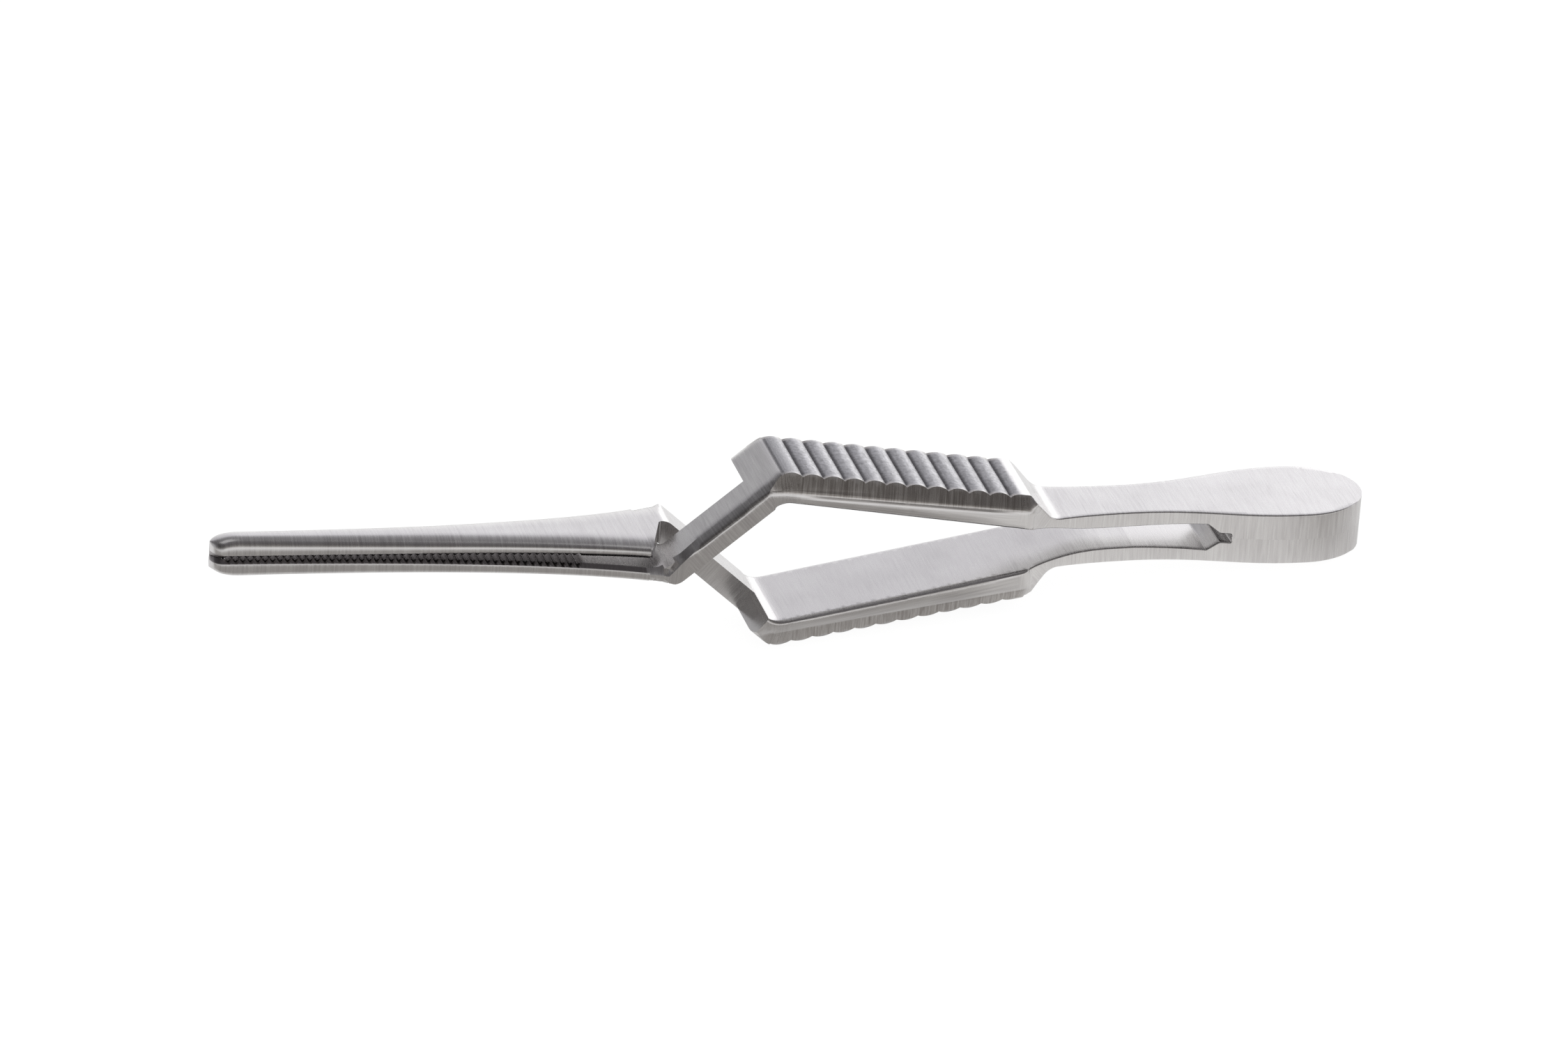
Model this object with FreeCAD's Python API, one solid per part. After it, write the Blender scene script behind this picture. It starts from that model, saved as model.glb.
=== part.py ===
import FreeCAD, Part
import math
import os

V = FreeCAD.Vector

# Cross-action spring clamp of two like forged arms, welded together at the tail. Sizes are in millimetres.
# An arm is drawn as the one with the upper grip: X runs from the jaw tip to the tail, Z is the opening direction,
# and Z = 0 is the plane in which the tails are welded. The other arm is the same forging turned half a turn
# about X. The jaws are set by hand when the clamp is made, so that they close a little above that plane.
# The finished clamp is then tilted to lie on its lower grip and its tail.

# Jaw
jaw_length = 32.5            # tip to the corner where the crossing strip rises
jaw_set = 1.6                # degrees by which the closed jaws rise from the grips to the tip
jaw_nose_half_width = 1.05
jaw_ear_half_width = 3.82    # half width of the jaw's rear, the crossing strip and the grip
jaw_ear_overrun = 0.5        # from that corner to the end of the flare
jaw_nose_height = 0.97
jaw_nose_length = 2.2        # from the tip to where the jaw has its full height
jaw_tip_height = 1.35
jaw_middle_height = 1.1
jaw_rear_height = 1.48
jaw_tip_gap = 0.02           # from the closing plane to each jaw's inner face
jaw_middle_gap = 0.1
jaw_rear_gap = 0.42
jaw_bow = 0.22               # the jaw's long faces curve by this much over its length
jaw_outer_rounding = 0.5
jaw_ear_rounding = 0.1
jaw_inner_chamfer = 0.42
serrated_length = 26.2
serration_start = 0.7
serration_pitch = 0.54
serration_depth = 0.2
serration_land = 0.08

# Crossing strip
strip_reach = 8.64           # from the jaw's rear corner to the grip's front one, along X
strip_thickness = 1.68
strip_bevel_width = 0.8
strip_bevel_drop = 0.16
lap_half_gap = 0.6           # each strip stands this far off the middle plane
lap_grip_shoulder = 1.0      # end of the half lap, down the strip from the grip's inner corner
lap_grip_difference = 0.45   # by which the hand-ground shoulders of the two arms differ from that
lap_jaw_distance = 0.7       # from the jaw's rear corner to the end of the half lap, at the middle plane
lap_jaw_slant = 19.0         # degrees from Y
lap_jaw_rounding = 1.2

# Grip
grip_front_half_gap = 4.82   # weld plane to the grip's inner face at its front corner
grip_length = 18.8
grip_front_thickness = 2.2
grip_rear_thickness = 2.5
grip_nose_radius = 1.5
grip_rear_slope = 48.0       # degrees, down from the pad to the spring leaf
ridge_pitch = 1.588
ridge_height = 0.24
grip_edge_width = 0.76       # the wide bevel along each outer edge of the pad
grip_edge_front_drop = 1.43
grip_edge_rear_drop = 1.05

# Spring leaf and tail
tail_half_thickness = 1.95
leaf_front_thickness = 1.12
leaf_root_thickness = 0.94
leaf_length = 13.7           # from the grip's rear to the shoulder of the slot
leaf_bend_distance = 4.5425  # from the grip's rear to where its falling inner face meets the leaf
slot_half_gap = 0.34
slot_ramp = 0.9
slot_length = 0.85
neck_half_width = 2.38
neck_distance = 8.1          # from the grip's rear to the narrowest place
tail_flare = 13.0            # from the neck to the widest place
tail_half_width = 4.17
tail_end_radius = 5.0        # half ellipse, from the widest place to the end
hinge_distance = 9.36        # from the grip's rear, halfway along the bending leaves, which swing the arms about it

# Rounded bends, seen from the side
bend_radius = 1.6
heel_radius = 1.2
leaf_bend_radius = 20.0
foot_radius = 1.5
small_radius = 0.3
beyond = 8.0                 # how far cutting shapes stand out past the metal


def tan(degrees):
    return math.tan(math.radians(degrees))


# Places worked out from the sizes above, along X from the jaw tip
jaw_ear_x = jaw_length + jaw_ear_overrun
lap_jaw_shoulder = jaw_length + lap_jaw_distance
grip_front_x = jaw_length + strip_reach
grip_rear_x = grip_front_x + grip_length
leaf_inner_x = grip_rear_x + leaf_bend_distance
leaf_inner_z = tail_half_thickness - leaf_front_thickness
grip_fall = (grip_front_half_gap - leaf_inner_z) / (leaf_inner_x - grip_front_x)
grip_rear_inner_z = grip_front_half_gap - grip_length * grip_fall
pad_front_z = grip_front_half_gap + grip_front_thickness
pad_rear_z = grip_rear_inner_z + grip_rear_thickness
pad_fall = (pad_front_z - pad_rear_z) / grip_length
ridge_count = round(grip_length / ridge_pitch)   # valleys between the rounded ridges
neck_x = grip_rear_x + neck_distance
tail_middle_x = neck_x + tail_flare
tail_end_x = tail_middle_x + tail_end_radius
slot_shoulder_x = grip_rear_x + leaf_length
slot_end_x = slot_shoulder_x + slot_ramp + slot_length
leaf_root_z = tail_half_thickness - leaf_root_thickness
hinge_x = grip_rear_x + hinge_distance
jaw_middle_x = jaw_length / 2
jaw_bow_radius = jaw_length ** 2 / (8 * jaw_bow)
overlap = 0.25               # by which the jaw and the rest of the arm run into each other before they are joined


def side(x, z, y=0.0):
    """A point of a side view."""
    return V(x, y, z)


def plan(x, y, z=0.0):
    """A point of a plan view."""
    return V(x, y, z)


def corner(before, at, after, radius):
    """The start, middle and end of the arc that rounds a corner between two straight runs."""
    back = (before - at).normalize()
    ahead = (after - at).normalize()
    half = back.getAngle(ahead) / 2
    reach = radius / math.tan(half)
    bisector = (back + ahead).normalize()
    middle = at + bisector * (radius / math.sin(half) - radius)
    return at + back * reach, middle, at + ahead * reach


def outline(corners, view=side):
    """A closed wire of straight runs, where each corner is (first, second, rounding radius)."""
    points = [view(a, b) for a, b, radius in corners]
    edges = []
    runs = []
    for i, (a, b, radius) in enumerate(corners):
        if radius:
            start, middle, end = corner(points[i - 1], points[i], points[(i + 1) % len(points)], radius)
            edges.append(Part.Arc(start, middle, end).toShape())
            runs.append((start, end))
        else:
            runs.append((points[i], points[i]))
    for i, (start, end) in enumerate(runs):
        following = runs[(i + 1) % len(runs)][0]
        if (following - end).Length > 1e-6:
            edges.append(Part.LineSegment(end, following).toShape())
    return Part.Wire(Part.__sortEdges__(edges))


def across(wire, start=-beyond, end=beyond):
    """A side view's outline carried across the clamp, from one Y to another."""
    face = Part.Face(wire)
    face.translate(V(0, start, 0))
    return face.extrude(V(0, end - start, 0))


def upright(wire, bottom=-2 * beyond, top=2 * beyond):
    """A plan view's outline carried up, from one Z to another."""
    face = Part.Face(wire)
    face.translate(V(0, 0, bottom))
    return face.extrude(V(0, 0, top - bottom))


def bezier(*poles):
    curve = Part.BezierCurve()
    curve.setPoles([plan(x, y) for x, y in poles])
    return curve.toShape()


def mirrored(edges):
    """The edges of one half of a plan view, with their copies on the other side of the X axis."""
    copies = [edge.mirror(V(0, 0, 0), V(0, 1, 0)) for edge in edges]
    return Part.Wire(Part.__sortEdges__(edges + copies))


def arc(*points):
    return Part.Arc(*points).toShape()


def run(first, second):
    return Part.LineSegment(first, second).toShape()


class Strip:
    """The crossing strip of one arm in side view: its outer and inner lines and the set of the jaw ahead of it."""

    def __init__(self, hand):
        self.hand = hand
        self.low = side(jaw_length, self.jaw_face_z(jaw_length))
        high = side(grip_front_x, grip_front_half_gap)
        reach = high - self.low
        self.angle = math.atan2(reach.z, reach.x) + math.asin(strip_thickness / reach.Length)
        self.slope = math.tan(self.angle)
        self.along = V(math.cos(self.angle), 0, math.sin(self.angle))
        self.inner_x = grip_front_x - (grip_front_half_gap - self.lifted(jaw_ear_x, -jaw_rear_height)) / self.slope

    def lifted(self, x, z):
        """The height of a jaw point after the jaw is set; hand is 1 for the upper grip's arm and -1 for the other."""
        return z + self.hand * tan(jaw_set) * (grip_front_x - x)

    def jaw_face_z(self, x):
        """Height of the jaw's inner face, which runs straight from its middle to either end."""
        rear_x = jaw_ear_x + overlap
        first = jaw_tip_gap + (jaw_middle_gap - jaw_tip_gap) * x / jaw_middle_x
        second = jaw_middle_gap + (jaw_rear_gap - jaw_middle_gap) * (x - jaw_middle_x) / (rear_x - jaw_middle_x)
        return self.lifted(x, -max(first, second))

    def outer_z(self, x):
        return self.low.z + self.slope * (x - self.low.x)

    def nose_x(self):
        """Where the strip's outer face, carried on, meets the pad's top, carried forwards."""
        return (pad_front_z + pad_fall * grip_front_x - self.low.z + self.slope * self.low.x) / (
            self.slope + pad_fall)


def pad_z(x):
    """Height of the ridges' crests."""
    return pad_front_z + (grip_front_x - x) * pad_fall


def arm_plan():
    """Plan of an arm: round nose, slender jaw, flare, parallel grip, narrow neck and a tail like a paddle."""
    nose = jaw_nose_half_width
    half = jaw_ear_half_width
    lean = math.radians(45)
    edges = [arc(plan(0, 0), plan(nose - nose * math.sin(lean), nose * math.cos(lean)), plan(nose, nose))]
    edges.append(bezier((nose, nose), (0.49 * jaw_ear_x, 1.38 * nose), (0.83 * jaw_ear_x, 1.9 * nose),
                        (jaw_ear_x, half)))
    edges.append(run(plan(jaw_ear_x, half), plan(grip_rear_x, half)))
    drop = half - neck_half_width
    edges.append(bezier((grip_rear_x, half), (grip_rear_x + 0.75 * drop, half - 0.75 * drop),
                        (neck_x - 0.45 * neck_distance, neck_half_width), (neck_x, neck_half_width)))
    edges.append(bezier((neck_x, neck_half_width), (neck_x + 0.45 * tail_flare, neck_half_width),
                        (tail_middle_x - 0.42 * tail_flare, tail_half_width), (tail_middle_x, tail_half_width)))
    end = plan(tail_end_x, 0)
    widest = plan(tail_middle_x, tail_half_width)
    tail = Part.Ellipse(end, widest, plan(tail_middle_x, 0))
    edges.append(tail.toShape(tail.parameter(end), tail.parameter(widest)))
    return mirrored(edges)


def frame_side(strip):
    """Side view of the bend behind the jaw, strip, grip, spring leaf and tail, with every bend rounded."""
    foot_x = grip_rear_x + (pad_rear_z - tail_half_thickness) / tan(grip_rear_slope)
    nose = strip.nose_x()
    jaw_under_z = strip.lifted(jaw_ear_x, -jaw_rear_height)
    bend_x = jaw_length - 0.5 * bend_radius
    bend_z = strip.jaw_face_z(bend_x)
    return outline([
        (bend_x, bend_z, 0),
        (bend_x, bend_z - 0.05, 0),
        (jaw_ear_x, bend_z - 0.05, 0),
        (jaw_ear_x, jaw_under_z, 0),
        (strip.inner_x, jaw_under_z, heel_radius),
        (grip_front_x, grip_front_half_gap, bend_radius),
        (leaf_inner_x, leaf_inner_z, leaf_bend_radius),
        (neck_x + small_radius, leaf_inner_z, 0),
        (slot_shoulder_x, leaf_root_z, small_radius),
        (slot_shoulder_x + slot_ramp, slot_half_gap, small_radius),
        (slot_end_x, slot_half_gap, small_radius / 2),
        (slot_end_x, 0, 0),
        (tail_end_x, 0, 0),
        (tail_end_x, tail_half_thickness, 0),
        (foot_x, tail_half_thickness, foot_radius),
        (grip_rear_x, pad_rear_z, small_radius),
        (nose, pad_z(nose), grip_nose_radius),
        (jaw_length, strip.low.z, bend_radius),
    ])


def jaw_side(strip):
    """Side view of the jaw, up to where its rear runs into the strip."""
    rear_x = jaw_ear_x + overlap
    places = [
        (-small_radius, -jaw_tip_gap, 0),
        (jaw_middle_x, -jaw_middle_gap, jaw_bow_radius),
        (rear_x, -jaw_rear_gap, 0),
        (rear_x, -jaw_rear_height, 0),
        (jaw_middle_x, -jaw_middle_height, jaw_bow_radius),
        (jaw_nose_length, -jaw_tip_height, 3 * bend_radius),
        (-small_radius, -jaw_nose_height, 0),
    ]
    return outline([(x, strip.lifted(x, z), radius) for x, z, radius in places])


def jaw(strip):
    """The jaw by itself: a bevel round its inner face, and outer edges rounded less and less towards the ear."""
    blank = across(jaw_side(strip)).common(upright(arm_plan()))
    half = blank.common(Part.makeBox(60, beyond, 4 * beyond, V(-beyond, -beyond, -2 * beyond)))
    half = half.makeChamfer(jaw_inner_chamfer, rim(half, 1))
    half = half.makeFillet(jaw_outer_rounding, jaw_ear_rounding, rim(half, -1)[:1])
    return half.fuse(half.mirror(V(0, 0, 0), V(0, 1, 0))).removeSplitter()


def rim(half, up):
    """The edges round half a jaw on its outer side (up is -1) or its inner side (up is 1), from the nose back."""
    rear = half.BoundBox.XMax - 1e-3
    found = []
    for edge in half.Edges:
        ends = [vertex.Point for vertex in edge.Vertexes]
        if all(p.x > rear for p in ends) or all(abs(p.y) < 1e-6 for p in ends):
            continue
        middle = edge.valueAt((edge.FirstParameter + edge.LastParameter) / 2)
        sides = [face for face in half.Faces if any(edge.isSame(other) for other in face.Edges)]
        normals = [face.normalAt(*face.Surface.parameter(middle)) for face in sides]
        if any(normal.z * up > 0.3 for normal in normals) and any(abs(normal.z) < 0.1 for normal in normals):
            found.append(edge)
    return sorted(found, key=lambda edge: edge.CenterOfMass.x)


def bevel_section(x, z, edge, width, drop, lean, sign):
    """A triangle that bevels an outer edge at one place along it, in a plane that leans from upright."""
    out = 0.5
    up = V(-tan(lean), 0, 1)
    at = V(x, 0, z)
    inner = at + up * (out * drop) + V(0, sign * (edge - width - width * out), 0)
    lower = at - up * (drop * (1 + out)) + V(0, sign * (edge + width * out), 0)
    outer = at + up * (out * drop) + V(0, sign * (edge + width * out), 0)
    return Part.makePolygon([inner, lower, outer, inner])


def outer_bevels(strip):
    """The wide bevels along the pad, and fainter ones from the jaw's rear up the crossing strip."""
    edge = jaw_ear_half_width
    flare_slope = (edge - 1.9 * jaw_nose_half_width) / (0.17 * jaw_ear_x)
    bend = math.degrees(strip.angle)
    foot_x = grip_rear_x + 1.5
    front_x = grip_front_x - 3.5
    pad = [
        (foot_x, pad_z(foot_x), edge, grip_edge_width, grip_edge_rear_drop, 0),
        (grip_front_x, pad_z(grip_front_x), edge, grip_edge_width, grip_edge_front_drop, 0),
        (front_x, pad_z(front_x), edge, grip_edge_width, grip_edge_front_drop, 0),
    ]
    before_x = jaw_ear_x - 1.5
    bend_x = jaw_ear_x + 0.05
    after_x = jaw_ear_x + 0.9
    low_x = jaw_ear_x + 2.2
    high_x = grip_front_x - 3.0
    end_x = grip_front_x - 1.1
    small = jaw_inner_chamfer
    crossing = [
        (before_x, strip.jaw_face_z(before_x), edge - flare_slope * (jaw_ear_x - before_x), small, small, 0),
        (bend_x, strip.jaw_face_z(bend_x), edge, small, small, 0),
        (after_x, strip.outer_z(after_x), edge, 1.3 * small, 0.8 * small, bend),
        (low_x, strip.outer_z(low_x), edge, strip_bevel_width, strip_bevel_drop, bend),
        (high_x, strip.outer_z(high_x), edge, strip_bevel_width, strip_bevel_drop, bend),
        (end_x, strip.outer_z(end_x), edge, strip_bevel_width, 0.1 * strip_bevel_drop, bend),
    ]
    cutters = []
    for sign in (-1, 1):
        for places in (pad, crossing):
            sections = [bevel_section(*place, sign) for place in places]
            for first, second in zip(sections, sections[1:]):
                cutters.append(Part.makeLoft([first, second], True, True))
    return cutters


def ridge_cutter():
    """What is taken off the pad's top: a row of rounded ridges with sharp valleys between them."""
    radius = (ridge_pitch ** 2 / 4 + ridge_height ** 2) / (2 * ridge_height)
    fall = V(1, 0, -pad_fall).normalize()
    up = V(-fall.z, 0, fall.x)
    crest = side(grip_front_x, pad_front_z)

    def at(along, below):
        return crest + fall * along - up * below

    def sag(offset):
        return radius - math.sqrt(radius ** 2 - offset ** 2)

    half = ridge_pitch / 2
    edges = []
    for i in range(ridge_count + 1):
        middle = (i - 0.5) * ridge_pitch
        first = 0.0 if i == 0 else -half
        last = 0.0 if i == ridge_count else half
        between = (first + last) / 2
        edges.append(arc(at(middle + first, sag(first)), at(middle + between, sag(between)),
                         at(middle + last, sag(last))))
    start = at(-half, 0)
    end = at((ridge_count - 0.5) * ridge_pitch, 0)
    lift = up * 2
    edges += [run(end, end + lift), run(end + lift, start + lift), run(start + lift, start)]
    return across(Part.Wire(Part.__sortEdges__(edges)))


def serration_cutter(strip):
    """V grooves across the jaw's inner face, as one comb."""
    count = int((serrated_length - serration_start) / serration_pitch)
    surface = strip.jaw_face_z
    points = []
    for i in range(count):
        x = serration_start + i * serration_pitch
        end = x + serration_pitch - serration_land
        middle = (x + end) / 2
        points += [side(x, surface(x)), side(middle, surface(middle) - serration_depth), side(end, surface(end))]
    over = [side(points[-1].x, beyond), side(points[0].x, beyond), points[0]]
    return across(Part.makePolygon(points + over))


def lap_cutter(strip):
    """Half of the crossing strip's width, from the shoulder at the grip to the shoulder at the jaw."""
    far = 3 * beyond
    down = strip.along * -1
    square = V(-strip.along.z, 0, strip.along.x)
    distance = lap_grip_shoulder + strip.hand * lap_grip_difference
    shoulder = side(grip_front_x, grip_front_half_gap) + down * distance
    block = Part.makePolygon([
        shoulder - square * beyond, shoulder + square * beyond,
        shoulder + square * beyond + down * far, shoulder - square * beyond + down * far,
        shoulder - square * beyond])
    half = jaw_ear_half_width
    edge_x = lap_jaw_shoulder - tan(lap_jaw_slant) * (half + lap_half_gap)
    ends = outline([
        (lap_jaw_shoulder, -lap_half_gap, small_radius),
        (edge_x, half, lap_jaw_rounding),
        (edge_x - 3 * lap_jaw_rounding, half, 0),
        (edge_x - 3 * lap_jaw_rounding, half + beyond, 0),
        (grip_front_x + beyond, half + beyond, 0),
        (grip_front_x + beyond, -lap_half_gap, 0),
    ], plan)
    return across(block).common(upright(ends))


def arm(hand):
    """One arm, drawn with its grip up. Its jaw is set up by a hand of 1 and down by a hand of -1."""
    strip = Strip(hand)
    body = across(frame_side(strip)).common(upright(arm_plan()))
    body = body.fuse(jaw(strip))
    body = body.cut(outer_bevels(strip))
    body = body.cut([ridge_cutter(), serration_cutter(strip), lap_cutter(strip)])
    return body.removeSplitter()


def rest_angle():
    """Degrees by which the clamp turns to lie on the nose of its lower grip and on the end of its tail."""
    strip = Strip(-1)
    fall = V(1, 0, -pad_fall).normalize()
    nose = side(strip.nose_x(), pad_z(strip.nose_x()))
    before, middle, after = corner(nose + fall, nose, nose - strip.along, grip_nose_radius)
    centre = before - V(-fall.z, 0, fall.x) * grip_nose_radius
    reach = side(tail_end_x, tail_half_thickness) - centre
    return math.degrees(math.atan2(-reach.z, reach.x) + math.asin(grip_nose_radius / reach.Length))


def laid_down(shapes):
    """Tilts the shapes as the clamp lies and puts the middle of their box's underside at the origin."""
    for shape in shapes:
        shape.rotate(V(0, 0, 0), V(0, 1, 0), rest_angle())
    box = Part.makeCompound(shapes).optimalBoundingBox(True, False)
    for shape in shapes:
        shape.translate(V(-box.Center.x, -box.Center.y, -box.ZMin))
    return box


def main():
    os.makedirs("parts", exist_ok=True)
    upper = arm(1)
    lower = arm(-1)
    lower.rotate(V(0, 0, 0), V(1, 0, 0), 180)
    hinge = Part.Vertex(hinge_x, 0, 0)
    box = laid_down([upper, lower])
    hinge.rotate(V(0, 0, 0), V(0, 1, 0), rest_angle())
    hinge.translate(V(-box.Center.x, -box.Center.y, -box.ZMin))
    for name, shape in (("upper_arm", upper), ("lower_arm", lower)):
        shape.exportStep("parts/" + name + ".step")
        print(name, len(shape.Solids), "solid", round(shape.Volume, 3), "mm3")
    print("rest angle", round(rest_angle(), 4), "hinge", [round(value, 4) for value in hinge.Point])
    print("length, width, height", [round(value, 3) for value in (box.XLength, box.YLength, box.ZLength)])


main()
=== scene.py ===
import math

import bmesh
import bpy
import numpy as np
from mathutils import Matrix, Vector


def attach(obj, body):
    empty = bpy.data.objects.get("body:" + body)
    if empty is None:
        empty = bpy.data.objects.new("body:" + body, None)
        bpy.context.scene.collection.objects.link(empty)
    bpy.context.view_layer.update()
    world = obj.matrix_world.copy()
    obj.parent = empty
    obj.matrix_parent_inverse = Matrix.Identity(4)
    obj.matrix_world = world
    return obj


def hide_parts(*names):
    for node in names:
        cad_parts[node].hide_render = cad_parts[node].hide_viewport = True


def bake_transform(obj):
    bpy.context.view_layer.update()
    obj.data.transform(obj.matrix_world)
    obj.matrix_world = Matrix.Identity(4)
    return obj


# A bulldog clamp of two welded arms in satin stainless steel. Places along an arm are in mm from the jaw tip, as in
# the CAD; z runs up from the plane in which the tails are welded, towards the arm's own grip.
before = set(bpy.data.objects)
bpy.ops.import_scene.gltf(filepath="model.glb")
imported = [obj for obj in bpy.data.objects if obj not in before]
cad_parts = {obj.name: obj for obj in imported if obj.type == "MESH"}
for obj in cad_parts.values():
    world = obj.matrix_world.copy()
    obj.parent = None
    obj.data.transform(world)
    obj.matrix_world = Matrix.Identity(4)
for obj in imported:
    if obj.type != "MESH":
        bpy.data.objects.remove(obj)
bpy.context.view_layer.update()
print("frame loaded")

arms = {
    "lean": 6.4092,                # degrees by which the clamp is tilted to lie on its lower grip and tail
    "hinge": (25.9779, 3.8065),    # the hinge in the row frame
    "hingeX": 69.3,                # the same place along an arm
    "halfWidth": 3.82,
    "gripFront": 41.14, "gripRear": 59.94,
    "padFront": 7.02, "padFall": 0.155,        # height of the ridges' crests at the front, and their fall per mm
    "innerFront": 4.82, "innerFall": 0.171,    # the same for the grip's inner face
    "bevelDrop": (1.43, 1.05),                 # depth of the pad's wide edge bevel, front and rear
    "crown": 0.075,                # the flat sides stand out in their middle by this share of their height
    "crownSpan": (41.6, 44.5, 56.5, 59.8), "crownEdge": (0.1, 0.02),    # along the arm, and from the side inwards
    "cell": 0.46,                  # longest edge of the worked mesh
    "cellRounds": 9,               # times that long edges may be halved
    "flatAngle": 0.2,              # degrees below which two of the solid's faces are one
}

strip = {
    "low": (32.5, {1: -0.17, -1: -0.65}),      # foot of the outer face: place along the arm, and height on each arm
    "climb": {1: 39.7, -1: 41.8},              # degrees
    "reach": (34.0, 35.4, 40.6, 42.2),         # the rounding grows and fades over these places
    "round": (1.15, 0.36),                     # rounding of the outer edge: inwards, and down
    "flatBevel": (0.8, 0.16),                  # the solid's own bevel there, which the rounding takes the place of
    "bevelReach": (34.2, 35.2, 38.14, 40.04),  # where that bevel grows, and where it thins until it ends
    "bevelLeft": 0.1,                          # the share of it that is left at its end
    "sideDepth": 1.2,                          # the shift fades to nothing this far down the side
    "above": 0.3,                              # points further above the outer face than this stay
}

edges = {
    "rounding": [(0.3, 34.2, 60.2), (0.12, 60.2, 90)],   # of the flat sides' edges: mm, from, to
    "steps": 4,
    "foldAngle": 18.0,             # degrees between faces from which an edge counts
    "crispAngle": 26.0,            # degrees between faces from which an edge is shaded crisp
    "gripEnd": 60,
    "flatSide": (0.985, 0.7),      # how squarely a side faces sideways, up to the grip's end and on the curved leaf
    "otherSide": 0.93,             # its neighbour faces sideways less than this
    "middle": 1.6,                 # edges nearer the middle than this belong to the half lap
    "seam": 0.05,                  # edges lower than this on the leaf and tail belong to the weld
    "nose": (42.6, 5.4),           # ahead of this and above this one ground corner stays crisp
}


# Row frame metres to an arm's own mm: turned back by the lean about the hinge. The hand is 1 for the upper arm, and
# -1 for the lower one, which is turned half a turn about its length.
def armPlace(points, hand):
    p = points * 1000.0
    c, s = math.cos(math.radians(arms["lean"])), math.sin(math.radians(arms["lean"]))
    x, z = p[:, 0] - arms["hinge"][0], p[:, 2] - arms["hinge"][1]
    return np.stack([arms["hingeX"] + x * c - z * s, hand * p[:, 1], hand * (x * s + z * c)], 1)


# An arm's own mm back to row frame metres.
def rowPlace(local, hand):
    c, s = math.cos(math.radians(arms["lean"])), math.sin(math.radians(arms["lean"]))
    x, z = local[:, 0] - arms["hingeX"], hand * local[:, 2]
    row = [x * c + z * s + arms["hinge"][0], hand * local[:, 1], z * c - x * s + arms["hinge"][1]]
    return np.stack(row, 1) / 1000.0


# 0 below low, 1 above high, and a smooth S between: t squared times three less two t.
def ramp(x, low, high):
    t = np.clip((x - low) / (high - low), 0, 1)
    return t * t * (3 - 2 * t)


# 1 along a stretch of the arm, with a smooth rise over the first two places and a smooth fall over the last two.
def stretch(x, grows, grown, fades, gone):
    return ramp(x, grows, grown) * (1 - ramp(x, fades, gone))


# 0 in the middle of an arm and 1 at its flat sides, changing between two depths inwards from the side.
def nearSide(y, deep, shallow):
    return ramp(np.abs(y), arms["halfWidth"] - deep, arms["halfWidth"] - shallow)


# In the two-way values below, 1 is the lower jaw, on the upper arm, and -1 is the upper jaw, on the lower arm.
jaws = {
    "length": 31.7,                # the worked surface runs from the tip to here
    "earX": 33.0,                  # end of the flare
    "noseHalf": 1.05, "noseLength": 2.2, "noseThin": 0.55, "noseCurve": 2.2,
    "set": 1.6,                    # degrees by which the closed jaws rise towards the tip
    "flare": [(1.05, 1.05), (16.17, 1.449), (27.39, 1.995), (33.0, 3.82)],    # control points of the half width
    # place along the jaw, and how far the inner and the outer face lie from the closing plane there
    "gap": [(0, 0.02), (16.25, 0.114), (33, 0.415)],
    "height": {1: [(2.2, 1.45), (16.25, 1.31), (33.25, 1.5)], -1: [(2.2, 1.55), (16.25, 1.42), (33.25, 1.5)]},
    "roundWide": {1: (0.7, 0.6), -1: (1.6, 2.1)},   # rounding of the outer edge, across: at the tip and at the ear
    "roundTurn": (20, 31),         # where that changes
    "roundShare": {1: 0.5, -1: 0.8},                # and down, as a share of the side's height
    "fullness": {1: 2.0, -1: 2.5},                  # 2 is an ellipse, more is fuller
    "heelFade": {1: (-0.5, 0.6), -1: (0.1, 1.2)},   # from the ear, where the rounding ends
    "heelReach": 1.25,             # how far past the ear the heel is worked
    "heelWall": 0.03, "heelFace": 0.3,              # what counts as the heel's side wall, and as its outer face
    "chamfer": 0.32,
    "chamferMost": 0.6, "roundMost": 0.98,          # neither is wider than this share of the half width
    "teethStart": 0.7, "teethLength": 26.2, "pitch": 0.54, "depth": 0.2,
    "toothSteep": 1.25, "toothFlat": 0.1,           # the wave's gain, and the share of it cut flat
    "teethGrow": 0.3, "teethFade": 0.1,
    "noseStart": 0.09,                              # radians, where the nose's first section stands
    "noseSteps": 14, "toothSteps": 8, "rearSteps": 36, "turnSteps": 13, "flatSteps": 8,
    "turnCrowding": 1.3,                            # sections of the rounding stand closer together near the flat
    "sideShares": [0.5, 0.9], "chamferShares": [0.06, 0.18, 0.4, 0.62, 0.84, 1.0],
}


# Half width: a quarter circle at the nose, then a cubic curve that flares to the ear.
def jawHalfWidth(x):
    t = np.linspace(0, 1, 400)[:, None]
    a, b, c, d = [np.array(p) for p in jaws["flare"]]
    curve = a * (1 - t) ** 3 + 3 * b * t * (1 - t) ** 2 + 3 * c * t ** 2 * (1 - t) + d * t ** 3
    nose = jaws["noseHalf"]
    circle = np.sqrt(np.maximum(nose ** 2 - (nose - x) ** 2, 0))
    return np.where(x < nose, circle, np.interp(x, curve[:, 0], curve[:, 1]))


# How far the inner and the outer face lie from the closing plane: a parabola through three places each. The nose
# thins like a bullet.
def jawHeights(x, hand):
    inner = np.polyval(np.polyfit(*zip(*jaws["gap"]), 2), x)
    outer = np.polyval(np.polyfit(*zip(*jaws["height"][hand]), 2), x)
    thinned = np.clip(1 - x / jaws["noseLength"], 0, 1) ** jaws["noseCurve"]
    return inner, outer - jaws["noseThin"] * thinned


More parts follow.
